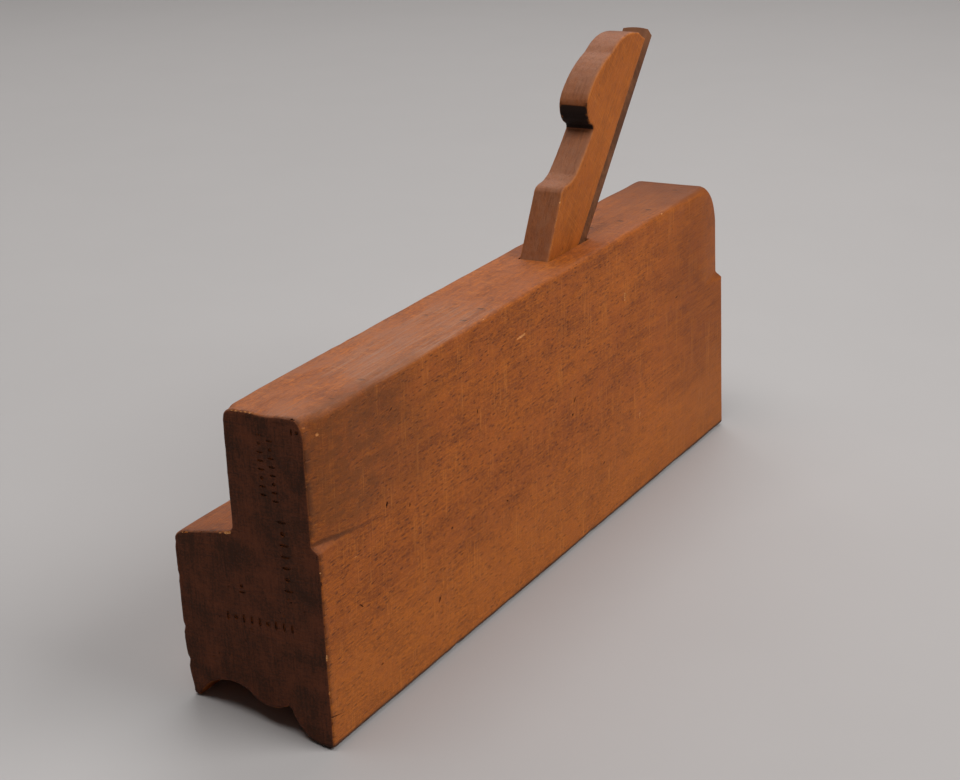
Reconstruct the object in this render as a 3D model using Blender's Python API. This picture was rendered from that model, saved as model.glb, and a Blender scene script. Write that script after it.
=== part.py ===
"""A side-escapement moulding plane: beech stock, beech wedge and profiled steel iron.

Frame: metres, +Z up. The length runs along Y with the toe at -Y and the heel at +Y. The blind side
with its fence is at +X, and the throat opens at -X. The fence's underside is at Z = 0.
"""

from math import atan2, cos, hypot, pi, radians, sin, tan

import bmesh
import bpy

MM = 0.001

# Stock.
LENGTH = 241.3 * MM
WIDTH = 43.0 * MM
HEIGHT = 85.0 * MM
UPPER_THICKNESS = 25.0 * MM
BLIND_X = WIDTH / 2
THROAT_X = -WIDTH / 2
UPPER_X = BLIND_X - UPPER_THICKNESS
TOE_Y = -LENGTH / 2
HEEL_Y = LENGTH / 2
ARRIS = 1.4 * MM
HEEL_ROUND = 14.5 * MM
CORNER_INSET = 2.1 * MM
CORNER_RUN = 15.0 * MM
CORNER_MIDDLE_INSET = 0.55 * MM
CORNER_STOP_Z = 52.3 * MM
RUNOUT = 0.2 * MM

# Bed, iron and wedge. Distances from the bed are square to it, and distances up it start at its foot.
BED_ANGLE = radians(47.0)
WEDGE_FRONT_ANGLE = radians(60.0)
WEDGE_BACK_TOP_Y = 34.5 * MM
WEDGE_FRONT_TOP_Y = 14.3 * MM
GAP = 0.3 * MM
IRON_THICKNESS = 3.6 * MM
IRON_LENGTH = 175.8 * MM
IRON_CROWN = 0.5 * MM
IRON_OVERHANG = 0.3 * MM
EDGE_BEVEL = radians(30.0)
WEDGE_THICKNESS = 9.4 * MM
WEDGE_X = 8.35 * MM
WEDGE_TIP_Z = 33.0 * MM
WEDGE_TIP_SLANT = 2.2 * MM
WEDGE_BACK_LENGTH = 172.0 * MM
TANG_WIDTH = 8.4 * MM
BLADE_LEFT_X = -19.5 * MM
EDGE_RIGHT_X = 9.0 * MM
RELIEF_X = 9.8 * MM
RELIEF_Z = 10.0 * MM
EDGE_CORNER = 0.6 * MM
SHOULDER = 40.0 * MM
TANG_START = 50.0 * MM
IRON_LIFT = 6.0 * MM

# Mouth and throat.
MOUTH_CLEARANCE = 1.6 * MM
POCKET_RELIEF = 0.15 * MM
POCKET_BELOW = 36.0 * MM
POCKET_EASE = 1.0 * MM
MORTISE_FOOT = 13.0 * MM
THROAT_FOOT = 3.0 * MM
THROAT_BACK = 2.0 * MM
EYE_STEPS = 32
OUTER_EYE = 18.0 * MM
OUTER_EYE_RISE = 50.0 * MM
OUTER_EYE_X = THROAT_X - 2.5 * MM
INNER_EYE = 6.0 * MM
INNER_EYE_RISE = 38.0 * MM
INNER_EYE_X = 12.35 * MM

# How far a cutter runs past the surface that it cuts.
REACH = 12.0 * MM

FOOT_Z = 8.0 * MM
IRON_FRONT = GAP + IRON_THICKNESS
WEDGE_BACK = IRON_FRONT + GAP
BED_TOP_Y = WEDGE_BACK_TOP_Y + WEDGE_BACK / sin(BED_ANGLE)
FOOT_Y = BED_TOP_Y - (HEIGHT - FOOT_Z) / tan(BED_ANGLE)
MORTISE_LEFT_X = WEDGE_X - WEDGE_THICKNESS / 2 - GAP
MORTISE_RIGHT_X = WEDGE_X + WEDGE_THICKNESS / 2 + GAP
POCKET_RIGHT_X = MORTISE_RIGHT_X + POCKET_RELIEF


def in_mm(*points):
    return [(x * MM, y * MM) for x, y in points]


def arc(first, middle, last, steps=8):
    """The points of the circle from first to last through middle, both ends included."""
    (ax, ay), (bx, by), (cx, cy) = first, middle, last
    twice_area = 2 * (ax * (by - cy) + bx * (cy - ay) + cx * (ay - by))
    a2, b2, c2 = ax * ax + ay * ay, bx * bx + by * by, cx * cx + cy * cy
    x = (a2 * (by - cy) + b2 * (cy - ay) + c2 * (ay - by)) / twice_area
    y = (a2 * (cx - bx) + b2 * (ax - cx) + c2 * (bx - ax)) / twice_area
    radius = hypot(ax - x, ay - y)
    start = atan2(ay - y, ax - x)
    turn = (atan2(cy - y, cx - x) - start) % (2 * pi)
    if (atan2(by - y, bx - x) - start) % (2 * pi) > turn:
        turn -= 2 * pi
    angles = [start + turn * step / steps for step in range(steps + 1)]
    return [(x + radius * cos(angle), y + radius * sin(angle)) for angle in angles]


def bed_point(up, out):
    """The (y, z) of a point a distance up the bed from its foot and a distance out from it."""
    y = FOOT_Y + up * cos(BED_ANGLE) - out * sin(BED_ANGLE)
    z = FOOT_Z + up * sin(BED_ANGLE) + out * cos(BED_ANGLE)
    return y, z


def abutment_point(z, out=0.0):
    """The (y, z) on the wedge's front plane at a height, moved a distance out towards the toe."""
    y = WEDGE_FRONT_TOP_Y - (HEIGHT - z) / tan(WEDGE_FRONT_ANGLE) - out / sin(WEDGE_FRONT_ANGLE)
    return y, z


def material(name, colour, roughness, metallic=0.0):
    made = bpy.data.materials.new(name)
    made.use_nodes = True
    shader = made.node_tree.nodes["Principled BSDF"]
    shader.inputs["Base Color"].default_value = (*colour, 1.0)
    shader.inputs["Roughness"].default_value = roughness
    shader.inputs["Metallic"].default_value = metallic
    made.diffuse_color = (*colour, 1.0)
    return made


def clear_scene():
    for old in list(bpy.data.objects):
        bpy.data.objects.remove(old, do_unlink=True)


def collection(name):
    made = bpy.data.collections.new(name)
    bpy.context.scene.collection.children.link(made)
    return made


def extruded(name, outline, depth, home, location=(0, 0, 0), rotation=(0, 0, 0)):
    """A closed flat outline in local X and Y, extruded to a depth along local Z, as a welded mesh."""
    curve = bpy.data.curves.new(name + "_outline", "CURVE")
    curve.dimensions = "2D"
    curve.fill_mode = "BOTH"
    curve.extrude = depth / 2
    spline = curve.splines.new("POLY")
    spline.points.add(len(outline) - 1)
    for point, (x, y) in zip(spline.points, outline):
        point.co = (x, y, 0.0, 1.0)
    spline.use_cyclic_u = True
    guide = bpy.data.objects.new(name + "_guide", curve)
    guide.location = location
    guide.rotation_euler = rotation
    home.objects.link(guide)
    bpy.context.view_layer.update()
    mesh = bpy.data.meshes.new_from_object(guide.evaluated_get(bpy.context.evaluated_depsgraph_get()))
    mesh.name = name
    made = bpy.data.objects.new(name, mesh)
    made.matrix_world = guide.matrix_world
    home.objects.link(made)
    bpy.data.objects.remove(guide)
    bpy.data.curves.remove(curve)
    weld(mesh)
    return made


def weld(mesh):
    """Join a curve's loose caps to its walls, and make each flat cap one face."""
    shape = bmesh.new()
    shape.from_mesh(mesh)
    bmesh.ops.remove_doubles(shape, verts=shape.verts, dist=0.001 * MM)
    bmesh.ops.dissolve_limit(shape, angle_limit=radians(0.2), verts=shape.verts, edges=shape.edges)
    bmesh.ops.recalc_face_normals(shape, faces=shape.faces)
    shape.to_mesh(mesh)
    shape.free()


def cut(target, cutter):
    """Subtract a cutter with an EXACT Boolean."""
    cutter.hide_render = True
    cutter.display_type = "WIRE"
    boolean = target.modifiers.new("Cut " + cutter.name, "BOOLEAN")
    boolean.operation = "DIFFERENCE"
    boolean.solver = "EXACT"
    boolean.object = cutter


def sole_outline():
    """The underside from the nose to the fence: nose, hollow, round, quirk and the fence's worn inside."""
    nose = arc(*in_mm((-20.0, 7.8), (-19.1, 6.0), (-17.3, 7.2)), steps=6)
    hollow = arc(*in_mm((-17.3, 7.2), (-9.0, 12.0), (-2.7, 10.4)), steps=14)
    rounded = arc(*in_mm((-2.7, 10.4), (3.9, 7.4), (8.9, 8.9)), steps=12)
    fence = arc(*in_mm((9.7, 8.3), (12.8, 3.0), (18.4, 0.0)), steps=10)
    return nose + hollow[1:] + rounded[1:] + fence


def stock_section():
    """The whole section across the stock, seen from the toe, starting at the nose."""
    fence_corner = arc(*in_mm((20.5, 0.0), (21.2, 0.3), (21.5, 1.0)), steps=4)
    top, side = HEIGHT, BLIND_X
    bulge = ARRIS * (1 - cos(pi / 4))
    blind_arris = arc((side, top - ARRIS), (side - bulge, top - bulge), (side - ARRIS, top), steps=4)
    left = UPPER_X
    left_arris = arc((left + ARRIS, top), (left + bulge, top - bulge), (left, top - ARRIS), steps=4)
    inner_corner = arc((left, 55.0 * MM), *in_mm((-3.95, 53.75), (-5.2, 53.1)), steps=4)
    ledge_corner = arc(*in_mm((-18.4, 50.8), (-20.7, 49.6)), (THROAT_X, 46.8 * MM), steps=5)
    cheek = arc((THROAT_X, 26.0 * MM), *in_mm((-21.15, 16.5), (-20.0, 7.8)), steps=6)
    upper = blind_arris + left_arris + inner_corner + ledge_corner
    return sole_outline() + fence_corner + upper + cheek[:-1]


def heel_cutter(home):
    """A corner with a round inside, which takes off the stock's top edge at the heel."""
    start = (HEEL_Y + RUNOUT, HEIGHT - HEEL_ROUND)
    end = (HEEL_Y - HEEL_ROUND, HEIGHT + RUNOUT)
    bulge = HEEL_ROUND * (1 - cos(pi / 4))
    rounding = arc(start, (HEEL_Y - bulge, HEIGHT - bulge), end, steps=10)
    far = HEEL_Y + REACH
    above = HEIGHT + REACH
    outline = rounding + [(end[0], above), (far, above), (far, start[1])]
    return extruded("heel_cutter", outline, WIDTH + REACH, home, rotation=(pi / 2, 0, pi / 2))


def corner_cutter(name, end_y, home):
    """The wide shallow chamfer on a vertical corner of the blind side, above its stop."""
    inward = -1 if end_y > 0 else 1
    face = (BLIND_X - CORNER_INSET, end_y - inward * MM)
    middle = (BLIND_X - CORNER_MIDDLE_INSET, end_y + inward * CORNER_RUN / 2)
    fade = (BLIND_X + RUNOUT, end_y + inward * CORNER_RUN)
    outline = arc(face, middle, fade, steps=6) + [(BLIND_X + REACH, fade[1]), (BLIND_X + REACH, face[1])]
    depth = HEIGHT + REACH - CORNER_STOP_Z
    return extruded(name, outline, depth, home, location=(0, 0, CORNER_STOP_Z + depth / 2))


def mortise_cutter(home):
    """The through slot for tang and wedge, between the bed and the abutment."""
    mouth_front = IRON_FRONT + MOUTH_CLEARANCE
    bed_low = bed_point(MORTISE_FOOT, 0.0)
    slot_low = bed_point(MORTISE_FOOT, mouth_front)
    crossing = abutment_point(WEDGE_TIP_Z, GAP)
    above = HEIGHT + REACH
    bed_high = (BED_TOP_Y + REACH / tan(BED_ANGLE), above)
    outline = [bed_high, bed_low, slot_low, crossing, abutment_point(above, GAP)]
    middle = (MORTISE_LEFT_X + MORTISE_RIGHT_X) / 2
    width = MORTISE_RIGHT_X - MORTISE_LEFT_X
    return extruded("mortise_cutter", outline, width, home, (middle, 0, 0), (pi / 2, 0, pi / 2))


def pocket_cutter(home):
    """The blade's pocket and the mouth: as wide as the blade, open at the throat side and the sole."""
    left = THROAT_X - REACH
    outline = [
        (left, -POCKET_BELOW),
        (POCKET_RIGHT_X, -POCKET_BELOW),
        (POCKET_RIGHT_X, TANG_START + IRON_LIFT),
        (MORTISE_LEFT_X, TANG_START + IRON_LIFT + POCKET_EASE),
        (BLADE_LEFT_X, SHOULDER + IRON_LIFT + POCKET_EASE),
        (left, SHOULDER + IRON_LIFT + POCKET_EASE),
    ]
    depth = IRON_FRONT + MOUTH_CLEARANCE + POCKET_RELIEF
    y, z = bed_point(0.0, depth / 2 - POCKET_RELIEF)
    return extruded("pocket_cutter", outline, depth, home, (0, y, z), (BED_ANGLE, 0, 0))


def throat_cutter(home):
    """The conical escapement: the hull of a large eye outside, a small one inside and a foot line."""
    shape = bmesh.new()
    eyes = ((OUTER_EYE_X, OUTER_EYE, OUTER_EYE_RISE), (INNER_EYE_X, INNER_EYE, INNER_EYE_RISE))
    for x, radius, rise in eyes:
        for step in range(EYE_STEPS):
            angle = 2 * pi * step / EYE_STEPS
            out = THROAT_BACK + radius + radius * sin(angle)
            shape.verts.new((x, *bed_point(rise + radius * cos(angle), out)))
        shape.verts.new((x, *bed_point(THROAT_FOOT, IRON_FRONT)))
    hull = bmesh.ops.convex_hull(shape, input=shape.verts)
    inner = [item for item in hull["geom_interior"] if isinstance(item, bmesh.types.BMVert)]
    bmesh.ops.delete(shape, geom=inner, context="VERTS")
    bmesh.ops.recalc_face_normals(shape, faces=shape.faces)
    mesh = bpy.data.meshes.new("throat_cutter")
    shape.to_mesh(mesh)
    shape.free()
    made = bpy.data.objects.new("throat_cutter", mesh)
    home.objects.link(made)
    return made


def make_stock(home, cutters):
    stock = extruded("stock", stock_section(), LENGTH, home, rotation=(pi / 2, 0, 0))
    cut(stock, heel_cutter(cutters))
    cut(stock, corner_cutter("toe_corner_cutter", TOE_Y, cutters))
    cut(stock, corner_cutter("heel_corner_cutter", HEEL_Y, cutters))
    cut(stock, mortise_cutter(cutters))
    cut(stock, pocket_cutter(cutters))
    cut(stock, throat_cutter(cutters))
    stock.data.materials.append(material("beech_stock", (0.27, 0.085, 0.024), 0.45))
    return stock


def wedge_outline():
    """The wedge from the side: tapered tail, shoulder, sloping neck, notch, hook and rounded top."""
    tip_back = bed_point((WEDGE_TIP_Z - FOOT_Z) / sin(BED_ANGLE), WEDGE_BACK)
    tip_front = abutment_point(WEDGE_TIP_Z + WEDGE_TIP_SLANT)
    shoulder = arc(*in_mm((23.9, 101.6), (25.0, 103.2), (27.0, 103.9)), steps=4)
    neck = in_mm((30.2, 104.3)) + arc(*in_mm((33.5, 105.6), (39.2, 110.3), (45.6, 116.4)), steps=5)
    hook = arc(*in_mm((45.4, 117.4), (41.6, 121.9), (43.2, 127.2)), steps=6)
    brow = arc(*in_mm((43.2, 127.2), (50.3, 132.8), (59.0, 136.4)), steps=6)
    crown = arc(*in_mm((59.0, 136.4), (68.4, 139.9), (78.2, 139.1)), steps=7)
    corner = arc(*in_mm((78.2, 139.1), (80.4, 137.6)), bed_point(WEDGE_BACK_LENGTH, WEDGE_BACK), steps=4)
    outline = [tip_back, tip_front] + shoulder + neck + hook + brow[1:] + crown[1:] + corner[1:]
    return [(y - FOOT_Y, z - FOOT_Z) for y, z in outline]


def make_wedge(home):
    place = (WEDGE_X, FOOT_Y, FOOT_Z)
    wedge = extruded("wedge", wedge_outline(), WEDGE_THICKNESS, home, place, (pi / 2, 0, pi / 2))
    wedge.data.materials.append(material("beech_wedge", (0.30, 0.10, 0.028), 0.5))
    return wedge


def iron_outline():
    """The iron's front face: the sole's profile as its edge, a wide blade, sloping shoulders and a tang."""
    front_rise = IRON_FRONT * cos(BED_ANGLE)
    edge = []
    for x, z in sole_outline():
        if BLADE_LEFT_X < x < EDGE_RIGHT_X:
            edge.append((x, (z - IRON_OVERHANG - FOOT_Z - front_rise) / sin(BED_ANGLE)))
    edge.insert(0, (BLADE_LEFT_X, edge[0][1] + EDGE_CORNER))
    right = WEDGE_X + WEDGE_THICKNESS / 2
    tang_left = WEDGE_X - TANG_WIDTH / 2
    tang_right = WEDGE_X + TANG_WIDTH / 2
    relief = (RELIEF_Z - FOOT_Z - front_rise) / sin(BED_ANGLE)
    crown_end = IRON_LENGTH - IRON_CROWN
    crown = arc((tang_right, crown_end), (WEDGE_X, IRON_LENGTH), (tang_left, crown_end), steps=6)
    body = [(RELIEF_X, relief), (right, relief), (right, SHOULDER), (tang_right, TANG_START)]
    return edge + body + crown + [(tang_left, TANG_START), (BLADE_LEFT_X, SHOULDER)]


def make_iron(home):
    y, z = bed_point(0.0, GAP + IRON_THICKNESS / 2)
    iron = extruded("iron", iron_outline(), IRON_THICKNESS, home, (0, y, z), (BED_ANGLE, 0, 0))
    for vertex in iron.data.vertices:
        if vertex.co.z < 0 and vertex.co.y < SHOULDER / 4:
            vertex.co.y += IRON_THICKNESS / tan(EDGE_BEVEL)
    iron.data.materials.append(material("iron_steel", (0.12, 0.085, 0.06), 0.5, 1.0))
    return iron


def main():
    clear_scene()
    plane = collection("moulding_plane")
    cutters = collection("cutters")
    make_stock(plane, cutters)
    make_wedge(plane)
    make_iron(plane)


if __name__ == "__main__":
    main()
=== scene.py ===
"""The looks of a beech side-escapement moulding plane: a worn stock, its wedge and its iron.

Run as a script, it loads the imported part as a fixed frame, builds each piece round it, sets a plain
stage, and leaves the scene ready to render. Lengths in the outlines are millimetres in the frame's
own axes: the toe is at -Y, the blind side with the fence at +X, and the fence's underside at Z = 0.
"""

import random
from contextlib import contextmanager
from math import atan2, cos, hypot, pi, radians, sin, sqrt, tan, tanh

import bpy
from bpy.props import FloatProperty, FloatVectorProperty, IntProperty, PointerProperty
from bpy.types import Operator, Panel, PropertyGroup
from mathutils import Matrix, Vector, noise


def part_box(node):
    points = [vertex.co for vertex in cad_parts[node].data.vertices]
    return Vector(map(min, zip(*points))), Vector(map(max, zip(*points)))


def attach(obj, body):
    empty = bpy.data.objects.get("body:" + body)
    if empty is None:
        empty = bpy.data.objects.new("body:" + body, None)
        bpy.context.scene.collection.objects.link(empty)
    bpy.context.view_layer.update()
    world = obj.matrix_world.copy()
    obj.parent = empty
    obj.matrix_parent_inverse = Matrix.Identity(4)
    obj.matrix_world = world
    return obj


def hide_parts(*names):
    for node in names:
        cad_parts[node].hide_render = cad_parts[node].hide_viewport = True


bl_info = {
    "name": "Moulding Plane",
    "version": (1, 0, 0),
    "blender": (4, 5, 0),
    "location": "View3D > Sidebar > Moulding Plane",
    "description": "Builds the visible pieces of a wooden moulding plane round its packed part",
    "category": "Object",
}

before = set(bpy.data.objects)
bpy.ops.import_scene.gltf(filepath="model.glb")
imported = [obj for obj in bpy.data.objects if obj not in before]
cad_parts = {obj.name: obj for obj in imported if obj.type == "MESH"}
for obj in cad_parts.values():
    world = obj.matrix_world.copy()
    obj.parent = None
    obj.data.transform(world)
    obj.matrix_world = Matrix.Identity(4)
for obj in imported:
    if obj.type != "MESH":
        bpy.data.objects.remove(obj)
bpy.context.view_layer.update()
MM = 0.001

STOCK_LOW, STOCK_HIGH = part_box("stock")
TOE = STOCK_LOW.y / MM
HEEL = STOCK_HIGH.y / MM
SIDE = STOCK_HIGH.x / MM
TOP = STOCK_HIGH.z / MM
WEDGE_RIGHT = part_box("wedge")[1].x / MM


# Settings


class StockSettings(PropertyGroup):
    upper_thickness: FloatProperty(
        name="Upper thickness", description="Thickness of the stock above the ledge, in mm", default=25.0
    )
    top_arris: FloatProperty(
        name="Top arris", description="Radius of the handled top edge on the blind side, in mm", default=1.5
    )
    end_arris: FloatProperty(
        name="End arris", description="Rounding of the edges round toe and heel, in mm", default=0.75
    )
    heel_round: FloatProperty(
        name="Heel round", description="Radius of the top edge at the heel, in mm", default=14.5
    )
    unevenness: FloatProperty(
        name="Unevenness", description="How far the planed faces wander, in mm", default=0.09
    )
    seed: IntProperty(name="Seed", description="Chooses where the small nicks fall", default=7)


class BedSettings(PropertyGroup):
    angle: FloatProperty(
        name="Bed angle", description="Slope of the bed above the sole", subtype="ANGLE",
        default=radians(47.0),
    )
    wedge_front: FloatProperty(
        name="Wedge front", description="Slope of the wedge's front face", subtype="ANGLE",
        default=radians(60.0),
    )
    iron_thickness: FloatProperty(name="Iron thickness", description="In mm", default=3.6)
    gap: FloatProperty(name="Gap", description="Clearance between fitted pieces, in mm", default=0.3)
    mouth: FloatProperty(name="Mouth", description="Opening ahead of the iron, in mm", default=1.6)


class ColourSettings(PropertyGroup):
    beech_light: FloatVectorProperty(
        name="Beech, light", description="Cleanest long grain", subtype="COLOR", default=(0.53, 0.138, 0.0135)
    )
    beech_dark: FloatVectorProperty(
        name="Beech, dark", description="Long grain darkened by age", subtype="COLOR",
        default=(0.235, 0.056, 0.009),
    )
    end_light: FloatVectorProperty(
        name="End grain, light", description="End grain", subtype="COLOR", default=(0.170, 0.046, 0.018)
    )
    end_dark: FloatVectorProperty(
        name="End grain, dark", description="Grimy end grain", subtype="COLOR", default=(0.060, 0.020, 0.0085)
    )
    beech_red: FloatVectorProperty(
        name="Beech, red", description="Redder long grain", subtype="COLOR", default=(0.34, 0.080, 0.016)
    )
    beech_pale: FloatVectorProperty(
        name="Beech, pale", description="Scraped and rubbed long grain", subtype="COLOR",
        default=(0.62, 0.198, 0.031),
    )
    fleck: FloatVectorProperty(
        name="Fleck", description="The short dark rays of beech", subtype="COLOR",
        default=(0.10, 0.024, 0.007),
    )
    # partly painted sheen: up-facing faces made greyer and lighter, over a dull film from hands and dust
    handled_and_sheen: FloatVectorProperty(
        name="Handled", description="The dull film on faces that hands and dust reach", subtype="COLOR",
        default=(0.32, 0.140, 0.075),
    )
    bare_wood: FloatVectorProperty(
        name="Bare wood", description="Fresh wood in a nick", subtype="COLOR", default=(0.70, 0.34, 0.13)
    )
    # also painted contact shadow: the dark band at the stock's foot, as well as dirt in pores, dents and
    # nicks
    grime_and_shade: FloatVectorProperty(
        name="Grime", description="Dirt in pores and dents", subtype="COLOR", default=(0.045, 0.016, 0.008)
    )
    steel: FloatVectorProperty(
        name="Steel", description="Ground steel at the edge", subtype="COLOR", default=(0.42, 0.40, 0.37)
    )
    patina: FloatVectorProperty(
        name="Patina", description="Brown patina on the iron", subtype="COLOR", default=(0.105, 0.036, 0.013)
    )
    rust: FloatVectorProperty(
        name="Rust", description="Lighter rust on the iron", subtype="COLOR", default=(0.25, 0.095, 0.038)
    )
    floor: FloatVectorProperty(
        name="Floor", description="Pale floor", subtype="COLOR", default=(0.50, 0.475, 0.465)
    )


class PlaneSettings(PropertyGroup):
    stock: PointerProperty(type=StockSettings)
    bed: PointerProperty(type=BedSettings)
    colours: PointerProperty(type=ColourSettings)


# Mesh helpers


def deselect():
    bpy.ops.object.select_all(action="DESELECT")


def only(piece):
    deselect()
    piece.select_set(True)
    bpy.context.view_layer.objects.active = piece


@contextmanager
def editing(piece):
    """Edit the piece's mesh, with all of it selected."""
    only(piece)
    bpy.ops.object.mode_set(mode="EDIT")
    bpy.ops.mesh.select_mode(type="VERT")
    bpy.ops.mesh.select_all(action="SELECT")
    yield
    bpy.ops.object.mode_set(mode="OBJECT")


def modify(piece, kind, **settings):
    """Add a modifier, set it and apply it."""
    only(piece)
    modifier = piece.modifiers.new(kind.title(), kind)
    for name, value in settings.items():
        setattr(modifier, name, value)
    bpy.ops.object.modifier_apply(modifier=modifier.name)


def cut(piece, cutter, finish=0):
    """Cut one mesh from another; the new faces take the piece's finish of this number."""
    for material in piece.data.materials:
        cutter.data.materials.append(material)
    for face in cutter.data.polygons:
        face.material_index = finish
    modify(piece, "BOOLEAN", operation="DIFFERENCE", solver="MANIFOLD", object=cutter)
    bpy.data.objects.remove(cutter, do_unlink=True)


def settle(piece):
    """Put the piece's place into its mesh."""
    only(piece)
    bpy.ops.object.transform_apply(location=True, rotation=True, scale=True)


def joined(pieces):
    deselect()
    for piece in pieces:
        piece.select_set(True)
    bpy.context.view_layer.objects.active = pieces[0]
    bpy.ops.object.join()
    settle(pieces[0])
    return pieces[0]


def arc(first, middle, last, steps):
    """The points of the circle from first to last through middle, both ends included."""
    (ax, ay), (bx, by), (cx, cy) = first, middle, last
    twice_area = 2 * (ax * (by - cy) + bx * (cy - ay) + cx * (ay - by))
    a2, b2, c2 = ax * ax + ay * ay, bx * bx + by * by, cx * cx + cy * cy
    x = (a2 * (by - cy) + b2 * (cy - ay) + c2 * (ay - by)) / twice_area
    y = (a2 * (cx - bx) + b2 * (ax - cx) + c2 * (bx - ax)) / twice_area
    radius = hypot(ax - x, ay - y)
    start = atan2(ay - y, ax - x)
    turn = (atan2(cy - y, cx - x) - start) % (2 * pi)
    if (atan2(by - y, bx - x) - start) % (2 * pi) > turn:
        turn -= 2 * pi
    angles = [start + turn * step / steps for step in range(steps + 1)]
    return [(x + radius * cos(angle), y + radius * sin(angle)) for angle in angles]


def rounded(before, corner, after, radius, steps):
    """The arc that rounds a corner, tangent to both of its sides."""
    corner = Vector(corner)
    one = (Vector(before) - corner).normalized()
    two = (Vector(after) - corner).normalized()
    half = one.angle(two) / 2
    reach = radius / tan(half)
    centre = corner + (one + two).normalized() * radius / sin(half)
    middle = centre + (corner - centre).normalized() * radius
    return arc(tuple(corner + one * reach), tuple(middle), tuple(corner + two * reach), steps)


def between(first, last, count):
    """Evenly spaced points on the line between two points, without its ends."""
    first, last = Vector(first), Vector(last)
    return [tuple(first.lerp(last, step / (count + 1))) for step in range(1, count + 1)]


def ripple(x, y, z, size):
    """Smooth noise from about -1 to 1, with waves about the given size in mm."""
    return noise.noise(Vector((x, y, z)) / size)


# Stock: a grid wrapped round the section and drawn out from toe to heel


# the numbers of a piece's finishes after its beech
FRESH = 1
DIRTY = 2

SOLE_STEPS = (6, 16, 14, 12)
CORNER_PARING = 2.15
CORNER_RUN = 17.0
LEDGE_INNER = 53.4
LEDGE_OUTER = 50.3
# share of the paring and height, up the stop of each pared corner
CORNER_STOP = ((0.0, 51.4), (0.06, 51.7), (0.3, 52.1), (0.7, 52.7), (0.94, 53.1), (1.0, 53.5))
HEEL_STEPS = 12
END_STEPS = 5
RING_SPACING = 1.5


def sole():
    """Nose, hollow, round, quirk and the fence's worn inside, from the left."""
    nose = arc((-20.0, 7.8), (-19.1, 6.02), (-17.3, 7.2), SOLE_STEPS[0])
    hollow = arc((-17.3, 7.2), (-9.0, 12.0), (-2.7, 10.4), SOLE_STEPS[1])
    belly = arc((-2.7, 10.4), (3.9, 7.4), (8.9, 8.9), SOLE_STEPS[2])
    fence = arc((9.7, 8.3), (12.8, 3.0), (18.4, 0.02), SOLE_STEPS[3])
    return nose + hollow[1:] + belly[1:] + fence


def corner_inset(y):
    """How far the blind side's upright corners are pared back at a distance along the stock."""
    from_end = min(y - TOE, HEEL - y)
    return CORNER_PARING * max(0.0, 1 - from_end / CORNER_RUN) ** 1.7


def top_height(y, radius):
    """The height of the top, which rounds over at the heel."""
    past = y - (HEEL - radius)
    if past <= 0:
        return TOP
    return TOP - radius + sqrt(max(0.0, radius * radius - past * past))


def section(y, settings):
    """The stock's outline at a distance along it, as (x, z) points with the same count everywhere."""
    left = SIDE - settings.upper_thickness
    inset = corner_inset(y)
    face = SIDE - inset
    top = top_height(y, settings.heel_round)
    toe_near = max(0.0, 1 - (y - TOE) / 30)
    heel_near = max(0.0, 1 - (HEEL - y) / 32)
    blind_arris = settings.top_arris * (1 + 0.3 * ripple(3, y, 0, 17)) + 1.3 * toe_near**2 + 2.6 * heel_near
    left_arris = 1.1 + 0.4 * ripple(9, y, 0, 13) + 0.5 * toe_near + 0.9 * heel_near
    ledge_arris = 3.1 + 0.4 * ripple(1, y, 5, 21)
    points = sole()
    points += rounded((0, 0.02), (SIDE, 0.02), (SIDE, 20), 0.9 + 0.25 * ripple(5, y, 5, 11), 4)
    points += between(points[-1], (SIDE, 51.3), 32)
    points += [(SIDE - share * inset, z) for share, z in CORNER_STOP]
    corner = rounded((face, 55), (face, top), (left, top), blind_arris, 8)
    points += between(points[-1], corner[0], 18) + corner
    corner = rounded((face, top), (left, top), (left, 55), left_arris, 6)
    points += between(points[-1], corner[0], 14) + corner
    corner = rounded((left, 60), (left, LEDGE_INNER), (-SIDE, LEDGE_OUTER), 1.9, 5)
    points += between(points[-1], corner[0], 18) + corner
    corner = rounded((left, LEDGE_INNER), (-SIDE, LEDGE_OUTER), (-SIDE, 40), ledge_arris, 7)
    points += between(points[-1], corner[0], 10) + corner
    cheek = arc((-SIDE, 26), (-21.15, 16.5), (-20.0, 7.8), 12)
    points += between(points[-1], cheek[0], 13) + cheek[:-1]
    return points


def stations(settings):
    """Distances along the stock where it has a ring, with how far in each end ring is drawn."""
    rounding = settings.end_arris
    steps = [pi / 2 * step / END_STEPS for step in range(END_STEPS + 1)]
    toe = [(TOE + rounding * (1 - cos(angle)), rounding * (1 - sin(angle))) for angle in steps]
    near = [(TOE + rounding + 0.5 * step, 0.0) for step in range(1, 9)]
    start = near[-1][0]
    bend = HEEL - settings.heel_round
    count = round((bend - start) / RING_SPACING)
    middle = [(start + (bend - start) * step / count, 0.0) for step in range(1, count)]
    turns = [pi / 2 * step / HEEL_STEPS for step in range(HEEL_STEPS)]
    heel = [(bend + settings.heel_round * sin(turn), 0.0) for turn in turns]
    heel = [place for place in heel if place[0] < HEEL - rounding]
    end = [(HEEL - rounding * (1 - cos(angle)), rounding * (1 - sin(angle))) for angle in reversed(steps)]
    return toe + near + middle + heel + end


def edge_wear(x, y, z):
    """How much more than usual an end's edge is worn away, by place round it."""
    wear = 1.0 + 0.55 * ripple(x, y, z, 4.5) + 0.35 * ripple(x + 40, y, z, 1.7)
    if z > TOP - 6:
        wear += 0.5 + 0.5 * ripple(x, 7, z, 7)
    if x < -17 and z < 40:
        wear += 0.3 + 0.5 * ripple(x, 3, z, 2.2)
    return max(0.25, wear)


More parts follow.
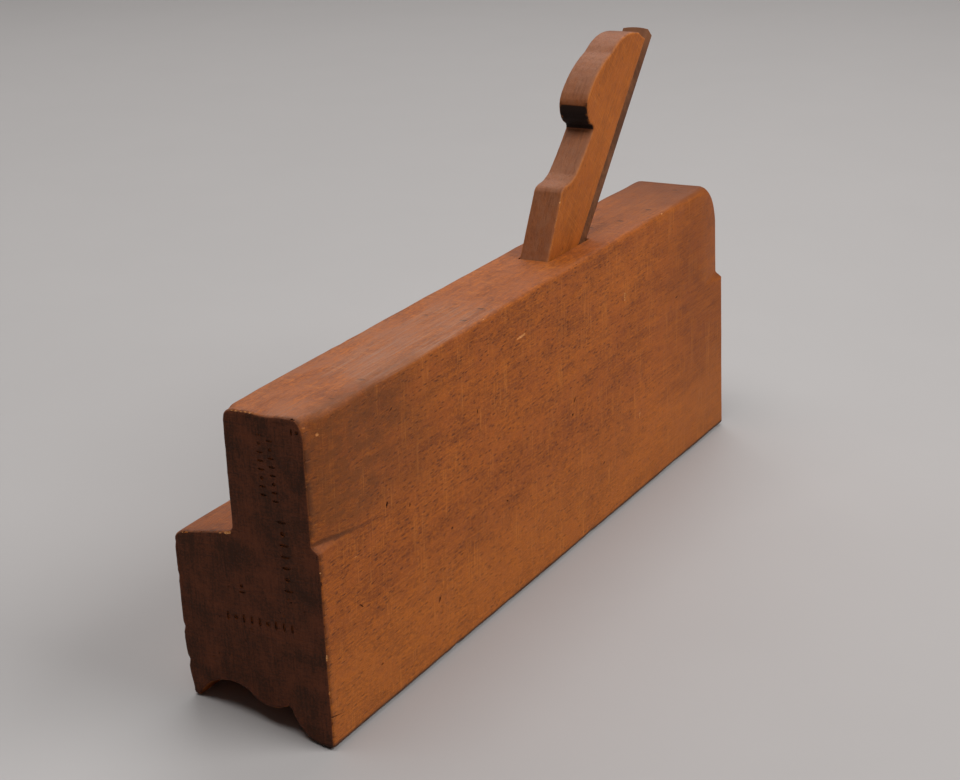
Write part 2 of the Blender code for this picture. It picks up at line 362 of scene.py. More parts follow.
def ring(y, drawn_in, settings):
    """One ring of the stock, with the section's faces wandering and its ends' edges worn."""
    outline = section(y, settings)
    made = []
    for index, (x, z) in enumerate(outline):
        after = Vector(outline[(index + 1) % len(outline)])
        before = Vector(outline[index - 1])
        along = (after - before).normalized()
        inwards = Vector((-along.y, along.x))
        sink = settings.unevenness * (1 + 0.7 * ripple(x, y / 2, z, 16) + 0.3 * ripple(x, y, z, 5))
        sink += drawn_in * edge_wear(x, y, z)
        made.append((x + inwards.x * sink, y, max(0.0, z + inwards.y * sink)))
    return made


DENTS = (
    # place, radius and depth, and the way the surface is pushed in
    ((-21.6, -120.6, 24.8), 1.5, 0.55, (1, 0.8, 0)),
    ((-21.0, -120.6, 15.3), 1.3, 0.6, (1, 0.8, 0)),
    ((-21.6, -120.6, 38.0), 1.2, 0.35, (1, 0.8, 0)),
    ((-20.8, -120.6, 47.5), 1.6, 0.45, (1, 0.6, -1)),
    ((8.5, -120.6, 85.0), 4.5, 0.7, (0, 0.6, -1)),
    ((-2.8, -119.5, 84.6), 3.0, 0.6, (1, 0.4, -1)),
    ((20.0, -119.6, 83.4), 4.0, 0.8, (-1, 0.4, -1)),
    ((21.5, -117.4, 80.5), 3.0, 0.35, (-1, 0, 0)),
    ((21.5, 40.0, 84.6), 5.0, 0.35, (-1, 0, -1)),
    ((21.5, -48.0, 84.2), 6.0, 0.4, (-1, 0, -1)),
    ((21.5, 92.0, 84.0), 7.0, 0.5, (-1, 0, -1)),
    ((-3.5, -70.0, 85.0), 4.0, 0.15, (1, 0, -1)),
    ((-3.5, 66.0, 85.0), 5.0, 0.12, (1, 0, -1)),
    ((-21.5, -92.0, 48.5), 4.5, 0.6, (1, 0, -1)),
    ((-21.5, 38.0, 49.0), 5.0, 0.6, (1, 0, -1)),
    ((-21.5, 84.0, 48.0), 4.0, 0.5, (1, 0, -1)),
    ((20.9, -60.0, 0.4), 3.0, 0.3, (-1, 0, 1)),
    ((20.9, 20.0, 0.4), 4.0, 0.25, (-1, 0, 1)),
)


def dent(rings):
    """Push in the places where the stock has been knocked."""
    knocks = [(Vector(place), size, depth, Vector(way).normalized()) for place, size, depth, way in DENTS]
    for points in rings:
        for index, point in enumerate(points):
            point = Vector(point)
            for place, size, depth, way in knocks:
                share = 1 - (point - place).length / size
                if share > 0:
                    point += way * depth * share * share * (3 - 2 * share)
            points[index] = tuple(point)


def wrapped(rings):
    """A grid with a row for each ring, wrapped round, closed at its seam and capped at both ends."""
    count = len(rings[0])
    bpy.ops.mesh.primitive_grid_add(x_subdivisions=count, y_subdivisions=len(rings) - 1, size=1)
    body = bpy.context.object
    for row, points in enumerate(rings):
        for column in range(count + 1):
            body.data.vertices[row * (count + 1) + column].co = Vector(points[column % count]) * MM
    with editing(body):
        bpy.ops.mesh.remove_doubles(threshold=0.0005 * MM)
        bpy.ops.mesh.select_all(action="DESELECT")
        bpy.ops.mesh.select_non_manifold()
        bpy.ops.mesh.edge_face_add()
        bpy.ops.mesh.select_all(action="SELECT")
        bpy.ops.mesh.normals_make_consistent(inside=False)
    settle(body)
    return body


class Bed:
    """Places on the sloping bed: distances up it from its foot, and out from it, in mm."""

    foot_z = 8.0
    wedge_back_top_y = 34.5
    wedge_front_top_y = 14.3

    def __init__(self, settings):
        self.angle = settings.angle
        self.front_angle = settings.wedge_front
        self.gap = settings.gap
        self.iron_front = settings.gap + settings.iron_thickness
        self.mouth_front = self.iron_front + settings.mouth
        back = (self.iron_front + settings.gap) / sin(self.angle)
        self.top_y = self.wedge_back_top_y + back
        self.foot_y = self.top_y - (TOP - self.foot_z) / tan(self.angle)

    def point(self, up, out):
        y = self.foot_y + up * cos(self.angle) - out * sin(self.angle)
        z = self.foot_z + up * sin(self.angle) + out * cos(self.angle)
        return y, z

    def abutment(self, z, out=0.0):
        run = (TOP - z) / tan(self.front_angle)
        return self.wedge_front_top_y - run - out / sin(self.front_angle), z


def prism(points, drawn):
    """A filled circle whose rim is put on flat points in mm, extruded by a vector in mm."""
    bpy.ops.mesh.primitive_circle_add(vertices=len(points), fill_type="NGON")
    made = bpy.context.object
    for vertex, point in zip(made.data.vertices, points):
        vertex.co = Vector(point) * MM
    with editing(made):
        bpy.ops.mesh.extrude_region_move(
            TRANSFORM_OT_translate={"value": tuple(Vector(drawn) * MM), "orient_type": "GLOBAL"}
        )
        bpy.ops.mesh.select_all(action="SELECT")
        bpy.ops.mesh.normals_make_consistent(inside=False)
    return made


MORTISE_LEFT = 3.35
MORTISE_RIGHT = 13.35
BLADE_LEFT = -19.5
SHOULDER = 40.0
TANG_START = 50.0
IRON_LIFT = 6.0
EASE = 1.0
RELIEF = 0.15
# across, radius and distance up the bed of the escapement's two circles
THROAT_EYES = ((-24.0, 18.0, 50.0), (12.35, 6.0, 38.0))
EYE_STEPS = 64
EYE_LIFT = 2.0


def mortise_cutter(bed):
    """The through slot for tang and wedge, between the bed and the abutment."""
    above = TOP + 12
    low = 13.0
    outline = [
        (bed.top_y + (above - TOP) / tan(bed.angle), above),
        bed.point(low, 0),
        bed.point(low, bed.mouth_front),
        bed.abutment(33, bed.gap),
        bed.abutment(above, bed.gap),
    ]
    return prism([(MORTISE_LEFT, y, z) for y, z in outline], (MORTISE_RIGHT - MORTISE_LEFT, 0, 0))


def pocket_cutter(bed):
    """The blade's pocket and the mouth, flat on the bed and open at the throat side and the sole."""
    left, right, below = -34.0, MORTISE_RIGHT + RELIEF, -36.0
    outline = [
        (left, below),
        (right, below),
        (right, TANG_START + IRON_LIFT),
        (MORTISE_LEFT, TANG_START + IRON_LIFT + EASE),
        (BLADE_LEFT, SHOULDER + IRON_LIFT + EASE),
        (left, SHOULDER + IRON_LIFT + EASE),
    ]
    depth = bed.mouth_front + RELIEF
    out = Vector((0, -sin(bed.angle), cos(bed.angle)))
    return prism([(x, *bed.point(up, -RELIEF)) for x, up in outline], out * depth)


def throat_cutter(bed):
    """The escapement: two circles and a foot line, hulled into a flaring cone."""
    bpy.ops.mesh.primitive_circle_add(vertices=EYE_STEPS)
    outer = bpy.context.object
    bpy.ops.mesh.primitive_circle_add(vertices=EYE_STEPS)
    inner = bpy.context.object
    for eye, (x, radius, rise) in zip((outer, inner), THROAT_EYES):
        for index, vertex in enumerate(eye.data.vertices):
            turn = 2 * pi * index / EYE_STEPS
            up = rise + radius * cos(turn)
            out = EYE_LIFT + radius * (1 + sin(turn))
            vertex.co = Vector((x, *bed.point(up, out))) * MM
        eye.data.vertices.add(1)
        eye.data.vertices[-1].co = Vector((x, *bed.point(3, bed.iron_front))) * MM
    made = joined([outer, inner])
    with editing(made):
        bpy.ops.mesh.convex_hull()
        bpy.ops.mesh.select_all(action="SELECT")
        bpy.ops.mesh.normals_make_consistent(inside=False)
    return made


def stone(draw, place, outward, along, length, width, depth):
    """A rough flattened ball, set so that it bites this deep into the surface at a place."""
    outward = Vector(outward).normalized()
    along = Vector(along).normalized()
    across = outward.cross(along)
    bpy.ops.mesh.primitive_ico_sphere_add(subdivisions=2, radius=1)
    made = bpy.context.object
    middle = Vector(place) + outward * 0.7 * depth
    for vertex in made.data.vertices:
        point = vertex.co * draw.uniform(0.8, 1.12)
        reach = along * point.x * length / 2 + across * point.y * width / 2 + outward * point.z * 1.7 * depth
        vertex.co = (middle + reach) * MM
    return made


EDGES = (
    # from and to, outward, how many nicks, how deep
    ((21.35, TOE + 0.1, 2), (21.35, TOE + 0.1, 50), (1, -1, 0), 15, 0.32),
    ((19.3, TOE + 0.1, 54), (19.3, TOE + 0.1, 82), (1, -1, 0), 6, 0.3),
    ((-3.0, TOE + 0.2, 84.8), (18.0, TOE + 0.2, 84.8), (0, -1, 1), 14, 0.4),
    ((-21.3, TOE + 0.1, 10), (-21.3, TOE + 0.1, 48), (-1, -1, 0), 11, 0.35),
    ((-3.4, TOE + 0.1, 55), (-3.4, TOE + 0.1, 83), (-1, -1, 0), 5, 0.25),
    ((-19.5, TOE + 0.1, 50.4), (-4.5, TOE + 0.1, 52.8), (0, -1, 1), 5, 0.25),
    ((21.2, TOE + 2, 84.6), (21.2, HEEL - 16, 84.6), (1, 0, 1), 15, 0.3),
    ((-3.3, TOE + 2, 84.8), (-3.3, HEEL - 16, 84.8), (-1, 0, 1), 13, 0.25),
    ((-20.8, TOE + 2, 49.6), (-20.8, HEEL - 2, 49.6), (-1, 0, 1), 12, 0.3),
    ((21.3, TOE + 2, 0.3), (21.3, HEEL - 2, 0.3), (1, 0, -1), 16, 0.3),
    ((21.35, HEEL - 0.1, 2), (21.35, HEEL - 0.1, 49), (1, 1, 0), 8, 0.3),
    ((-21.3, HEEL - 0.1, 10), (-21.3, HEEL - 0.1, 48), (-1, 1, 0), 6, 0.3),
    ((-16.0, TOE, 18), (17.0, TOE, 46), (0, -1, 0), 14, 0.22),
)


def nicks(draw):
    """Small bites along the stock's arrises: a set of fresh ones and a set of old, dirty ones."""
    fresh, old = [], []
    for first, last, outward, count, depth in EDGES:
        first, last = Vector(first), Vector(last)
        run = (last - first).normalized()
        flat = outward == (0, -1, 0)
        for _ in range(count):
            place = first.lerp(last, draw.random())
            if flat:
                place.x = draw.uniform(first.x, last.x)
                place.z = draw.uniform(16, 48)
            length = draw.uniform(0.5, 1.1) if flat else draw.uniform(0.7, 2.8)
            width = draw.uniform(0.4, 0.7) if flat else draw.uniform(0.6, 1.1)
            bite = depth * draw.uniform(0.5, 1.2)
            into = old if flat or draw.random() < 0.45 else fresh
            into.append(stone(draw, place, outward, run, length, width, bite))
    return joined(fresh), joined(old)


# first place on the toe (x, z), step to the next, how many marks and how large
MARK_ROWS = (
    ((6.7, 79.6), (0.02, -2.15), 8, 0.80),
    ((9.7, 78.4), (0.08, -2.15), 8, 0.80),
    ((11.4, 58.2), (0.08, -2.95), 7, 1.10),
    ((-6.8, 30.5), (2.35, 0.0), 9, 1.05),
    ((-2.0, 37.6), (0.0, 1.6), 2, 0.80),
    ((16.2, 81.6), (1.5, 0.0), 2, 0.75),
)


def punches():
    """Rows of plain punched bars and dots on the toe."""
    made = []
    for (x, z), (step_x, step_z), count, size in MARK_ROWS:
        across = step_z == 0.0
        for index in range(count):
            place = Vector((x + step_x * index, TOE - 0.15, z + step_z * index)) * MM
            bar = index % 4 != 1
            radii = (1.55 * size * MM, 1.1 * size * MM)
            bpy.ops.mesh.primitive_cone_add(
                vertices=8, radius1=radii[0], radius2=radii[1], depth=1.0 * MM, location=place
            )
            punch = bpy.context.object
            punch.rotation_euler = (-pi / 2, 0, 0)
            if bar:
                punch.scale = (0.34, 1.0, 1) if across else (1.0, 0.34, 1)
            else:
                punch.scale = (0.55, 0.55, 1)
            made.append(punch)
    return joined(made)


FRESH_GOUGES = (
    # place on the blind side (y, z), length, width, depth and tilt in degrees
    ((-18.6, 73.8), 6.4, 0.9, 0.40, 1),
    ((46.5, 66.0), 3.2, 1.2, 0.35, 82),
    ((55.4, 25.3), 2.4, 1.0, 0.30, 75),
    ((-116.0, 80.0), 1.6, 1.1, 0.35, 15),
    ((-106.0, 45.0), 3.4, 0.35, 0.25, -8),
)
OLD_GOUGES = (
    ((-90.4, 52.6), 2.0, 1.0, 0.45, 60),
    ((-68.1, 16.9), 1.9, 1.1, 0.50, 40),
    ((-79.9, 48.4), 1.2, 0.6, 0.30, 70),
    ((11.9, 45.1), 2.2, 0.8, 0.40, 50),
    ((10.4, 41.0), 1.0, 0.8, 0.35, 0),
    ((-104.5, 31.5), 3.2, 0.5, 0.30, -38),
    ((-30.0, 30.0), 1.5, 0.6, 0.30, -20),
    ((84.0, 55.0), 2.0, 0.6, 0.30, 15),
    ((-44.0, 61.0), 1.4, 0.6, 0.30, 70),
    ((-86.0, 76.0), 2.6, 0.5, 0.30, 25),
    ((-60.0, 34.0), 1.2, 0.7, 0.30, 10),
    ((-97.0, 12.0), 1.4, 0.6, 0.30, 5),
    ((30.0, 19.0), 1.6, 0.6, 0.30, 12),
)


def gouges(draw, places):
    """Dents in the flat of the blind side."""
    made = []
    for (y, z), length, width, depth, tilt in places:
        along = (0, cos(radians(tilt)), sin(radians(tilt)))
        face = SIDE - corner_inset(y) if z > 53 else SIDE
        made.append(stone(draw, (face - 0.08, y, z), (1, 0, 0), along, length, width, depth))
    return joined(made)


def crack():
    """A thin split running in from the toe at the foot of the blind side."""
    bpy.ops.mesh.primitive_cone_add(vertices=8, radius1=0.32 * MM, depth=9 * MM)
    split = bpy.context.object
    split.scale = (1.6, 0.55, 1)
    split.rotation_euler = (radians(-90 - 13), 0, 0)
    split.location = Vector((SIDE, TOE + 3.4, 8.1)) * MM
    settle(split)
    return split


def build_stock(settings, bed, finishes):
    rings = [ring(y, drawn_in, settings) for y, drawn_in in stations(settings)]
    dent(rings)
    stock = wrapped(rings)
    stock.name = stock.data.name = "worn_stock"
    for finish in finishes:
        stock.data.materials.append(finish)
    for cutter in (mortise_cutter(bed), pocket_cutter(bed), throat_cutter(bed)):
        cut(stock, cutter)
    draw = random.Random(settings.seed)
    fresh, old = nicks(draw)
    for cutter in (fresh, gouges(draw, FRESH_GOUGES)):
        cut(stock, cutter, FRESH)
    for cutter in (old, gouges(draw, OLD_GOUGES), punches(), crack()):
        cut(stock, cutter, DIRTY)
    only(stock)
    bpy.ops.object.shade_smooth_by_angle(angle=radians(28))
    return stock


# Wedge and iron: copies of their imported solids, worn and softened


def copied(node, name):
    """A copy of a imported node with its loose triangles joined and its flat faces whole."""
    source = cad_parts[node]
    mesh = source.data.copy()
    mesh.materials.clear()
    made = bpy.data.objects.new(name, mesh)
    bpy.context.scene.collection.objects.link(made)
    with editing(made):
        bpy.ops.mesh.remove_doubles(threshold=0.002 * MM)
        bpy.ops.mesh.dissolve_limited(angle_limit=radians(0.5))
        bpy.ops.mesh.normals_make_consistent(inside=False)
    mesh.name = name
    return made


WEDGE_NICKS = (
    # height on the front's right arris, length and depth
    (100.2, 1.6, 0.45),
    (95.6, 1.0, 0.35),
    (93.8, 0.8, 0.40),
    (89.4, 1.3, 0.40),
    (87.6, 0.7, 0.30),
)


def wedge_nicks(bed, draw):
    """Fresh bites along the right arris of the wedge's front."""
    made = []
    up = (0, cos(bed.front_angle), sin(bed.front_angle))
    for z, length, depth in WEDGE_NICKS:
        place = (WEDGE_RIGHT - 0.2, *bed.abutment(z))
        made.append(stone(draw, place, (1, -1, 0.4), up, length, 0.9, depth))
    return joined(made)


def build_wedge(bed, finishes):
    wedge = copied("wedge", "worn_wedge")
    modify(wedge, "BEVEL", width=0.55 * MM, segments=3, limit_method="ANGLE", angle_limit=radians(35))
    modify(wedge, "REMESH", mode="VOXEL", voxel_size=0.42 * MM)
    modify(wedge, "SMOOTH", factor=0.5, iterations=4)
    normals = [Vector(normal.vector) for normal in wedge.data.vertex_normals]
    for vertex, normal in zip(wedge.data.vertices, normals):
        x, y, z = vertex.co / MM
        sink = 0.05 + 0.05 * ripple(x, y, z, 9) + 0.03 * ripple(x, y, z, 3)
        vertex.co -= normal * sink * MM
    for finish in finishes:
        wedge.data.materials.append(finish)
    cut(wedge, wedge_nicks(bed, random.Random(3)), FRESH)
    only(wedge)
    bpy.ops.object.shade_smooth_by_angle(angle=radians(50))
    return wedge


def build_iron():
    iron = copied("iron", "forged_iron")
    modify(iron, "BEVEL", width=0.3 * MM, segments=2, limit_method="ANGLE", angle_limit=radians(40))
    only(iron)
    bpy.ops.object.shade_smooth_by_angle(angle=radians(30))
    return iron


# Shading


class Value:
    """A shader number that Python's operators act on, adding a Math node for each."""

    def __init__(self, finish, socket):
        self.finish = finish
        self.socket = socket

    def __add__(self, other):
        return self.finish.maths("ADD", self, other)

    def __radd__(self, other):
        return self.finish.maths("ADD", other, self)

    def __sub__(self, other):
        return self.finish.maths("SUBTRACT", self, other)

    def __rsub__(self, other):
        return self.finish.maths("SUBTRACT", other, self)

    def __mul__(self, other):
        return self.finish.maths("MULTIPLY", self, other)

    def __rmul__(self, other):
        return self.finish.maths("MULTIPLY", other, self)


class Finish:
    """A material, its Principled shader, and short ways to add what its finish needs."""

    def __init__(self, name):
        self.material = bpy.data.materials.new(name)
        self.material.use_nodes = True
        self.tree = self.material.node_tree
        self.shader = self.tree.nodes["Principled BSDF"]
        place = self.node("TexCoord").outputs
        self.normal = place["Normal"]
        self.place = self.node(
            "VectorMath", {"operation": "SCALE"}, {0: place["Object"], "Scale": 1 / MM}
        ).outputs[0]

    def feed(self, socket, value):
        if isinstance(value, Value):
            value = value.socket
        if isinstance(value, bpy.types.NodeSocket):
            self.tree.links.new(value, socket)
        else:
            socket.default_value = value

    def node(self, kind, settings=None, inputs=None):
        """A node of this type, with its settings made first and then its sockets' values or links."""
        made = self.tree.nodes.new("ShaderNode" + kind)
        for name, value in (settings or {}).items():
            setattr(made, name, value)
        for name, value in (inputs or {}).items():
            self.feed(made.inputs[name], value)
        return made

    def maths(self, operation, *values):
        made = self.node("Math", {"operation": operation}, dict(enumerate(values)))
        return Value(self, made.outputs[0])

    def turned(self, vector, turn):
        """A place or direction, turned about the origin."""
        settings = {"rotation_type": "EULER_XYZ"}
        return self.node("VectorRotate", settings, {"Vector": vector, "Rotation": turn}).outputs[0]

    def stretched(self, sizes, turn=(0, 0, 0), shift=(0, 0, 0)):
        """The place in mm, turned and then divided by a pattern's three sizes."""
        scale = tuple(1 / size for size in sizes)
        inputs = {"Vector": self.turned(self.place, turn), "Location": shift, "Scale": scale}
        return self.node("Mapping", {"vector_type": "POINT"}, inputs).outputs[0]

    def cloud(self, vector, detail=2.0, roughness=0.5, distortion=0.0):
        """Noise from 0 to 1 whose features are about one unit of the vector."""
        inputs = {"Vector": vector, "Scale": 1.0, "Detail": detail, "Roughness": roughness}
        inputs["Distortion"] = distortion
        return Value(self, self.node("TexNoise", {}, inputs).outputs["Fac"])

    def scattered(self, vector, radii, chances):
        """Spots of 1 on 0, fading out between two radii, in the cells that a random number picks."""
        made = self.node("TexVoronoi", {}, {"Vector": vector, "Scale": 1.0})
        chance = self.node("SeparateColor", {}, {0: made.outputs["Color"]}).outputs[0]
        return self.step(Value(self, made.outputs["Distance"]), *radii) * self.step(chance, *chances)

    def step(self, value, low, high):
        """0 below low, 1 above high and smooth between; with low above high it falls."""
        made = self.node(
            "MapRange",
            {"interpolation_type": "SMOOTHSTEP"},
            {"Value": value, "From Min": low, "From Max": high},
        )
        return Value(self, made.outputs["Result"])

    def axes(self, vector):
        return [Value(self, socket) for socket in self.node("SeparateXYZ", {}, {0: vector}).outputs]

    def mixed(self, share, first, second):
        """Two colours mixed by a share of the second."""
        inputs = {0: share, 6: solid(first), 7: solid(second)}
        return self.node("Mix", {"data_type": "RGBA"}, inputs).outputs[2]

    def bump(self, height, strength, distance):
        inputs = {"Height": height, "Strength": strength, "Distance": distance * MM}
        return self.node("Bump", {}, inputs).outputs[0]

    def finish(self, **sockets):
        for name, value in sockets.items():
            self.feed(self.shader.inputs[name.replace("_", " ").title().replace("Ior", "IOR")], value)
        return self.material


def solid(colour):
    if isinstance(colour, (Value, bpy.types.NodeSocket)):
        return colour
    return (*colour[:3], 1.0)


TOE_SHADE = (0.17, 0.05, 0.0115)
HEEL_SHADE = (0.155, 0.042, 0.011)
# painted sheen: the greyish highlight laid on the top
PAINTED_SHEEN = (0.42, 0.24, 0.16)
# painted shadow for the underside of the wedge's hook
HOOK_SHADOW = (0.012, 0.006, 0.004)


class Beech(Finish):
    """Old beech whose grain runs along Y, turned about X for the wedge, with its patterns."""

    def __init__(self, name, grain_turn, stock):
        super().__init__(name)
        self.grain_turn = grain_turn
        self.stock = stock
        self.x, self.y, self.z = self.axes(self.place)
        turn = (-grain_turn, 0, 0)
        _, facing_end, _ = self.axes(self.turned(self.normal, turn))
        facing_side, _, self.facing_up = self.axes(self.normal)
        self.end = self.step(self.maths("ABSOLUTE", facing_end), 0.6, 0.9)
        self.side = self.step(self.maths("ABSOLUTE", facing_side), 0.5, 0.85)
        self.up = self.step(self.facing_up, 0.35, 0.9)
        throat_side = self.step(facing_side, -0.5, -0.85)
        smooth = self.maths("MAXIMUM", throat_side, self.step(self.y, 20, 100))
        self.calm = 1 - 0.6 * smooth if stock else 1.0

        self.patches = self.cloud(self.along(22, 55), 3, 0.55)
        self.hue = self.cloud(self.along(7, 16, (3, 7, 1)), 3, 0.6)
        self.mottle = self.cloud(self.along(2.6, 5.5, (9, 2, 4)), 3, 0.65)
        self.fibres = self.cloud(self.along(0.5, 13), 3, 0.7)
        self.speckle = self.cloud(self.along(0.65, 1.7), 4, 0.8)
        self.rubbed = self.step(self.cloud(self.along(0.45, 26, (2, 6, 1)), 3, 0.7), 0.45, 0.7)
        self.hatch = self.cloud(self.stretched((0.5, 0.5, 7)), 3, 0.65)
        self.sawn = self.cloud(self.stretched((16, 1, 0.5)), 3, 0.65)

        flecks = self.scattered(self.rays(0.75, 2.6), (0.5, 0.22), (0.42, 0.62))
        pale = self.scattered(self.rays(0.8, 2.0, (4, 8, 3), 0.10), (0.45, 0.2), (0.55, 0.7))
        pores = self.scattered(self.rays(3.6, 4.8, (11, 5, 2)), (0.17, 0.07), (0.45, 0.5))
        self.flecks = flecks * (1 - 0.85 * self.up) * self.calm
        self.pale_flecks = pale * (1 - 0.6 * self.up) * self.calm
        self.pores = pores
        if not stock:
            self.flecks = self.flecks * self.side * 0.35
            self.pale_flecks = self.pale_flecks * self.side * 0.5
            self.pores = pores * self.side * 0.5

    def along(self, across, length, shift=(0, 0, 0), tilt=0.0):
        """The place, stretched along the grain."""
        return self.stretched((across, length, across), (tilt - self.grain_turn, 0, 0), shift)

    def rays(self, across, length, shift=(0, 0, 0), tilt=0.0):
        """The place, stretched along the grain and through the piece, as beech's rays are."""
        return self.stretched((9, length, across), (tilt - self.grain_turn, 0, 0), shift)


def long_grain(made, colours):
    """The colour of faces along the grain."""
    bands = made.cloud(made.along(2.4, 110, (1, 9, 6)), 3, 0.6)
    scraped = made.cloud(made.stretched((2.5, 0.45, 13), (0.06 - made.grain_turn, 0, 0)), 2, 0.6)
    worked = made.cloud(made.stretched((20, 9, 20), (-made.grain_turn, 0, 0), (5, 1, 2)), 2, 0.6)
    scrapes = made.step(scraped, 0.52, 0.72) * made.step(worked, 0.42, 0.62) * made.side
    grit = 1.25 if made.stock else 0.45
    tone = made.patches * 0.42 + made.hue * 0.40 + made.mottle * 0.46 + made.fibres * 0.60
    tone = tone + bands * 0.28 - 0.58 + (made.speckle - 0.5) * (grit * made.calm)
    wood = made.mixed(made.step(tone, 0.2, 0.8), colours.beech_dark, colours.beech_light)
    wood = made.mixed(made.step(made.hue, 0.4, 0.68) * 0.42, wood, colours.beech_red)
    wood = made.mixed(scrapes * 0.6, wood, colours.beech_pale)
    wood = made.mixed(made.pale_flecks * 0.6, wood, colours.beech_pale)
    wood = made.mixed(made.flecks * 0.75, wood, colours.fleck)
    return made.mixed(made.pores * 0.8, wood, colours.grime_and_shade)


def end_grain(made, colours):
    """The colour of faces across the grain: growth rings, saw marks and dirt."""
    rings = made.cloud(made.stretched((7, 6, 10), (0, 0.3, 0)), 3, 0.6, 0.5)
    tone = rings * 1.05 + made.hatch * 0.6 + made.sawn * 0.25 + made.speckle * 1.3 + made.hue * 0.4 - 1.3
    wood = made.mixed(made.step(tone, 0.22, 0.8), colours.end_dark, colours.end_light)
    return made.mixed(made.flecks * 0.12, wood, colours.grime_and_shade)


def stock_wear_and_painted_light(made, wood, colours):
    """Tones, dirt and painted light by place: a darker patch on the toe's side, darker towards the heel, the
    blind side's foot paler as painted light, a dark line at the corner stop, a painted sheen on the top, a
    painted contact shadow at the foot and dirt behind the toe.
    """
    y, z, up, hue, patches, mottle = made.y, made.z, made.up, made.hue, made.patches, made.mottle
    sides = 1 - made.end
    blind = made.step(made.x, 14, 20) * sides
    toe_side = made.step(y + 46 * (hue - 0.5), -52, -96) * made.step(z + 40 * (patches - 0.5), 44, 62)
    wood = made.mixed(toe_side * blind * (0.3 + 0.45 * made.step(mottle, 0.35, 0.6)), wood, TOE_SHADE)
    heel_side = made.step(y + 30 * (hue - 0.5), 62, 112) * sides
    wood = made.mixed(heel_side * (0.3 + 0.45 * up), wood, HEEL_SHADE)
    # painted light: the blind side paler towards its foot
    low = made.step(z - 26 * (hue - 0.5), 40, 8) * blind
    wood = made.mixed(low * 0.22, wood, colours.beech_pale)
    from_stop = made.maths("ABSOLUTE", z + 0.11 * y - 40.6 - 1.2 * (mottle - 0.5))
    stop_line = made.step(from_stop, 0.8, 0.2) * made.step(y, -92, -112)
    wood = made.mixed(stop_line * blind * 0.6, wood, colours.grime_and_shade)
    # painted sheen: a greyish highlight on the blind half of the top, back from the toe, patchy where rubbed
    sheen = up * made.step(made.x, 0, 7) * made.step(y + 24 * (hue - 0.5), -98, -84)
    sheen = sheen * made.step(y + 24 * (patches - 0.5), -22, -40) * (0.2 + 0.8 * made.rubbed)
    wood = made.mixed(sheen * 0.5, wood, PAINTED_SHEEN)
    # painted contact shadow: everything below about 1.7 mm high darkened nearly to black-brown
    wood = made.mixed(made.step(z, 1.7, 0.7) * 0.92, wood, colours.grime_and_shade)
    rim = made.step(y + 1.5 * made.speckle, TOE + 3.2, TOE + 1.2) * sides * made.step(mottle, 0.35, 0.6)
    return made.mixed(rim * 0.5, wood, colours.grime_and_shade)


def wedge_wear_and_painted_light(made, wood, colours):
    """Narrow faces under a dull film and a painted sheen, a painted shadow under the hook and pale worn
    edges.
    """
    wood = made.mixed(made.side * 0.15, wood, colours.beech_pale)
    narrow = 1 - made.side
    hook = made.step(made.z, 111, 114) * made.step(made.y, 52, 48)
    beneath = made.step(made.facing_up, 0.3, 0.16) * hook * narrow
    fronts = narrow * (1 - beneath)
    streaks = made.cloud(made.along(0.7, 12, (7, 3, 3)), 3, 0.65)
    # painted sheen over a dull film: the narrow faces greyer and lighter
    wood = made.mixed(fronts * (0.4 + 0.25 * made.step(made.mottle, 0.4, 0.6)), wood, colours.handled_and_sheen)
    wood = made.mixed(fronts * made.step(streaks, 0.47, 0.36) * 0.25, wood, colours.fleck)
    # painted shadow: the underside of the hook made nearly black
    wood = made.mixed(beneath * 0.97, wood, HOOK_SHADOW)
    ridge = Value(made, made.node("NewGeometry").outputs["Pointiness"])
    worn = made.step(ridge, 0.51, 0.55) * made.step(made.mottle, 0.36, 0.56)
    return made.mixed(worn * 0.6, wood, colours.beech_pale)


def beech_finish(name, colours, grain_turn=0.0, stock=False):
    """Old beech, worn by handling as the stock or as the wedge is, with a dull film, a painted sheen and
    other painted light added.
    """
    made = Beech(name, grain_turn, stock)
    wood = made.mixed(made.end, long_grain(made, colours), end_grain(made, colours))
    # dull film and painted sheen: up-facing faces greyer and lighter in patches
    film = made.step(made.hue * 0.5 + made.patches * 0.5, 0.40, 0.6)
    handled_and_sheen = made.up * (0.04 + 0.36 * film + 0.25 * made.rubbed)
    if stock:
        # less film and painted sheen back towards the heel, and half as much low down on the ledge
        handled_and_sheen = handled_and_sheen * (1 - 0.6 * made.step(made.y, -70, -10))
        handled_and_sheen = handled_and_sheen * (0.5 + 0.5 * made.step(made.z, 62, 80))
    wood = made.mixed(handled_and_sheen, wood, colours.handled_and_sheen)
    # wear, dirt and painted light by place
    wear = stock_wear_and_painted_light if stock else wedge_wear_and_painted_light
    wood = wear(made, wood, colours)

    relief = made.fibres * 0.35 + made.speckle * (0.55 * made.calm) + made.mottle * 0.5
    relief = relief - made.flecks * 0.35 + made.pale_flecks * 0.2 - made.pores * 0.6
    relief = relief + made.end * (made.hatch * 0.5 + made.sawn * 0.6)
    roughness = 0.46 + 0.18 * made.speckle + 0.10 * made.mottle - 0.08 * made.up + 0.12 * made.end
    return made.finish(
        base_color=wood,
        roughness=roughness,
        specular_ior_level=0.22,
        normal=made.bump(relief, 0.9, 0.3),
    )


def nick_finish(name, first, second):
    """Broken fibres in a nick or dent."""
    made = Finish(name)
    fibres = made.cloud(made.stretched((0.4, 1.2, 0.4)), 3, 0.7)
    wood = made.mixed(made.step(fibres, 0.4, 0.65), first, second)
    return made.finish(
        base_color=wood,
        roughness=0.6 + 0.2 * fibres,
        specular_ior_level=0.2,
        normal=made.bump(fibres, 0.6, 0.1),
    )


